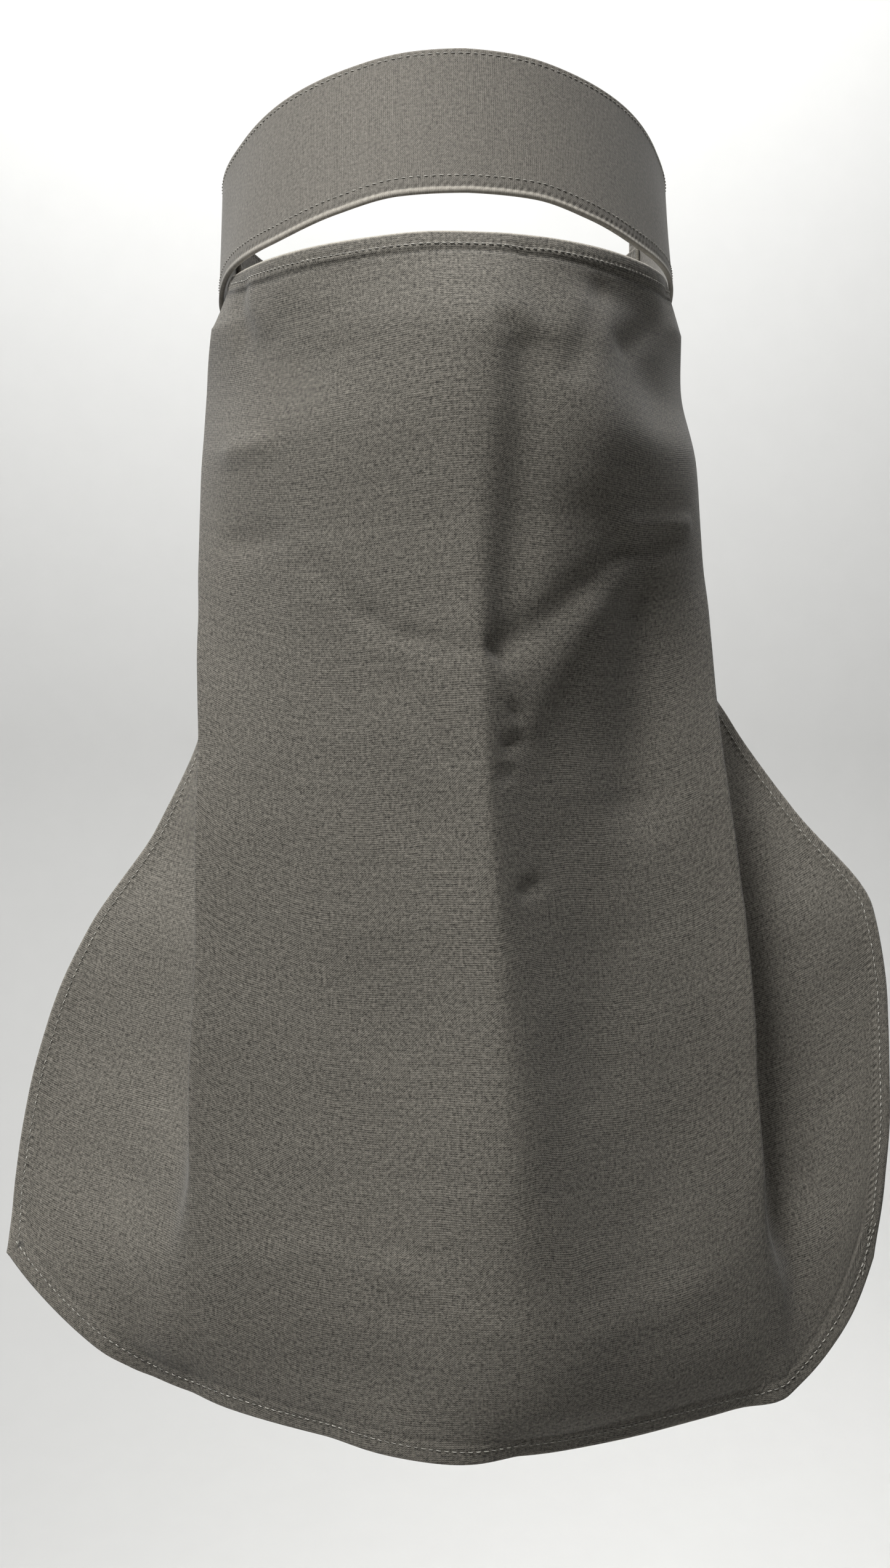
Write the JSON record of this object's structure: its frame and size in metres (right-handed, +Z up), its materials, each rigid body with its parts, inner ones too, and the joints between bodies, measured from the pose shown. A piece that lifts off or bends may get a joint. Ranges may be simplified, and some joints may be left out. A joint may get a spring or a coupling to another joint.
{
  "type": "niqab",
  "caption": "Half niqab: shaped head band with a back closure, a narrow eye slit and a long plain veil with side folds, spread wings and a rounded stitched hem.",
  "frame": {"origin": "middle of the head loop, at the height of the band's middle over the temples, where the head holds it", "axes": "+Z up along the wearer's head, front of the face towards -Y, +X to the right as seen from the front"},
  "size_m": [0.2909, 0.2197, 0.4259],
  "materials": {
    "veil_cloth": "matt plain-woven cloth, warm dark taupe, with a faint sheen",
    "band_cloth": "two layers of the same matt taupe cloth, edge stitched in paler thread",
    "strap_cloth": "plain strap of the same taupe cloth",
    "closure_tape": "plain dark hook-and-loop tape"
  },
  "bodies": {
    "root": {"head_band": "band_cloth", "back_strap_left": "strap_cloth", "back_strap_right": "strap_cloth", "back_closure": "closure_tape", "face_veil": "veil_cloth"}
  },
  "joints": []
}
